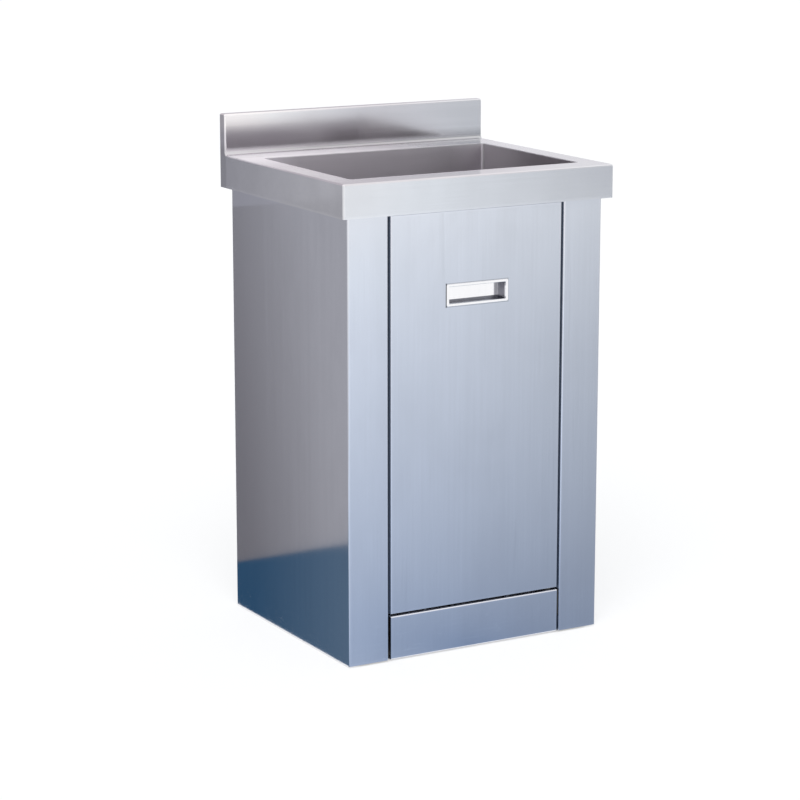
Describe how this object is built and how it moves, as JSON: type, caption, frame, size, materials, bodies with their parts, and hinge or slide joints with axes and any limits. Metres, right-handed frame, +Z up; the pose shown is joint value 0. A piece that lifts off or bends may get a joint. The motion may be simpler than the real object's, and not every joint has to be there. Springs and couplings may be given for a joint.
{
  "type": "surgical scrub sink",
  "caption": "Free-standing stainless steel cabinet sink with a deep rectangular bowl, low splashback, hinged flush door with recessed pull, kick panel, basket strainer and trap.",
  "frame": {"origin": "on the floor under the middle of the sink top", "axes": "+Z up, front of the cabinet towards -Y, wall side +Y, +X to the right as seen from the front"},
  "size_m": [0.51, 0.44, 0.87],
  "materials": {
    "top_steel": "fine brushed, long grain",
    "bowl_steel": "fine brushed",
    "panel_steel": "fine brushed, upright grain",
    "door_steel": "fine brushed, upright grain",
    "inner_steel": "mill finish",
    "zinc_steel": "zinc plated",
    "bright_pull": "polished",
    "bright_drain": "polished",
    "black_rubber": "matt",
    "nylon": "moulded",
    "dark_plastic": "moulded",
    "white_pipe": "moulded",
    "ferrite": "sintered"
  },
  "bodies": {
    "cabinet": {"sink_top": "top_steel", "bowl": "bowl_steel", "bowl_sound_pads": "black_rubber", "deck_nuts": "zinc_steel", "deck_studs": "zinc_steel", "left_side_panel": "panel_steel", "right_side_panel": "panel_steel", "back_panel": "inner_steel", "back_screws": "zinc_steel", "rear_rail": "inner_steel", "front_rail": "panel_steel", "door_bumpers": "black_rubber", "bottom_shelf": "inner_steel", "shelf_screws": "zinc_steel", "shelf_cleats": "inner_steel", "kick_panel": "panel_steel", "top_hinge_plate": "zinc_steel", "top_hinge_pin": "zinc_steel", "top_hinge_rivets": "zinc_steel", "bottom_hinge_bracket": "zinc_steel", "bottom_hinge_screws": "zinc_steel", "bottom_hinge_pin": "zinc_steel", "catch_housing": "dark_plastic", "catch_magnet": "ferrite", "catch_screws": "zinc_steel", "drain_body": "bright_drain", "drain_gasket": "black_rubber", "drain_lock_nut": "white_pipe", "tailpiece": "white_pipe", "tail_nut": "white_pipe", "trap_bend": "white_pipe", "waste_arm": "white_pipe", "trap_inlet_nut": "white_pipe", "trap_outlet_nut": "white_pipe", "waste_rosette": "white_pipe", "foot_gussets": "inner_steel", "foot_nuts": "zinc_steel"},
    "door": {"door_skin": "door_steel", "door_liner": "inner_steel", "door_stiffener": "inner_steel", "top_hinge_block": "zinc_steel", "bottom_hinge_block": "zinc_steel", "top_hinge_bush": "nylon", "bottom_hinge_bush": "nylon", "pull_cup": "bright_pull", "pull_retainer": "zinc_steel", "strike_plate": "zinc_steel", "strike_screws": "zinc_steel"},
    "basket": {"basket_stopper": "black_rubber", "basket_cup": "bright_drain", "basket_knob": "bright_drain"},
    "foot_front_left": {"foot_stem_front_left": "zinc_steel", "foot_pad_front_left": "dark_plastic"},
    "foot_front_right": {"foot_stem_front_right": "zinc_steel", "foot_pad_front_right": "dark_plastic"},
    "foot_rear_left": {"foot_stem_rear_left": "zinc_steel", "foot_pad_rear_left": "dark_plastic"},
    "foot_rear_right": {"foot_stem_rear_right": "zinc_steel", "foot_pad_rear_right": "dark_plastic"}
  },
  "joints": [
    {"name": "door_hinge", "type": "hinge", "parent": "cabinet", "child": "door", "pos_m": [0.14798, -0.196, 0.41], "axis": [0, 0, 1], "range_deg": [0, 110]},
    {"name": "basket_lift", "type": "slide", "parent": "cabinet", "child": "basket", "axis": [0, 0, 1], "range_m": [0, 0.3]},
    {"name": "foot_front_left_screw", "type": "slide", "parent": "cabinet", "child": "foot_front_left", "axis": [0, 0, -1], "range_m": [0, 0.015]},
    {"name": "foot_front_right_screw", "type": "slide", "parent": "cabinet", "child": "foot_front_right", "axis": [0, 0, -1], "range_m": [0, 0.015]},
    {"name": "foot_rear_left_screw", "type": "slide", "parent": "cabinet", "child": "foot_rear_left", "axis": [0, 0, -1], "range_m": [0, 0.015]},
    {"name": "foot_rear_right_screw", "type": "slide", "parent": "cabinet", "child": "foot_rear_right", "axis": [0, 0, -1], "range_m": [0, 0.015]}
  ]
}
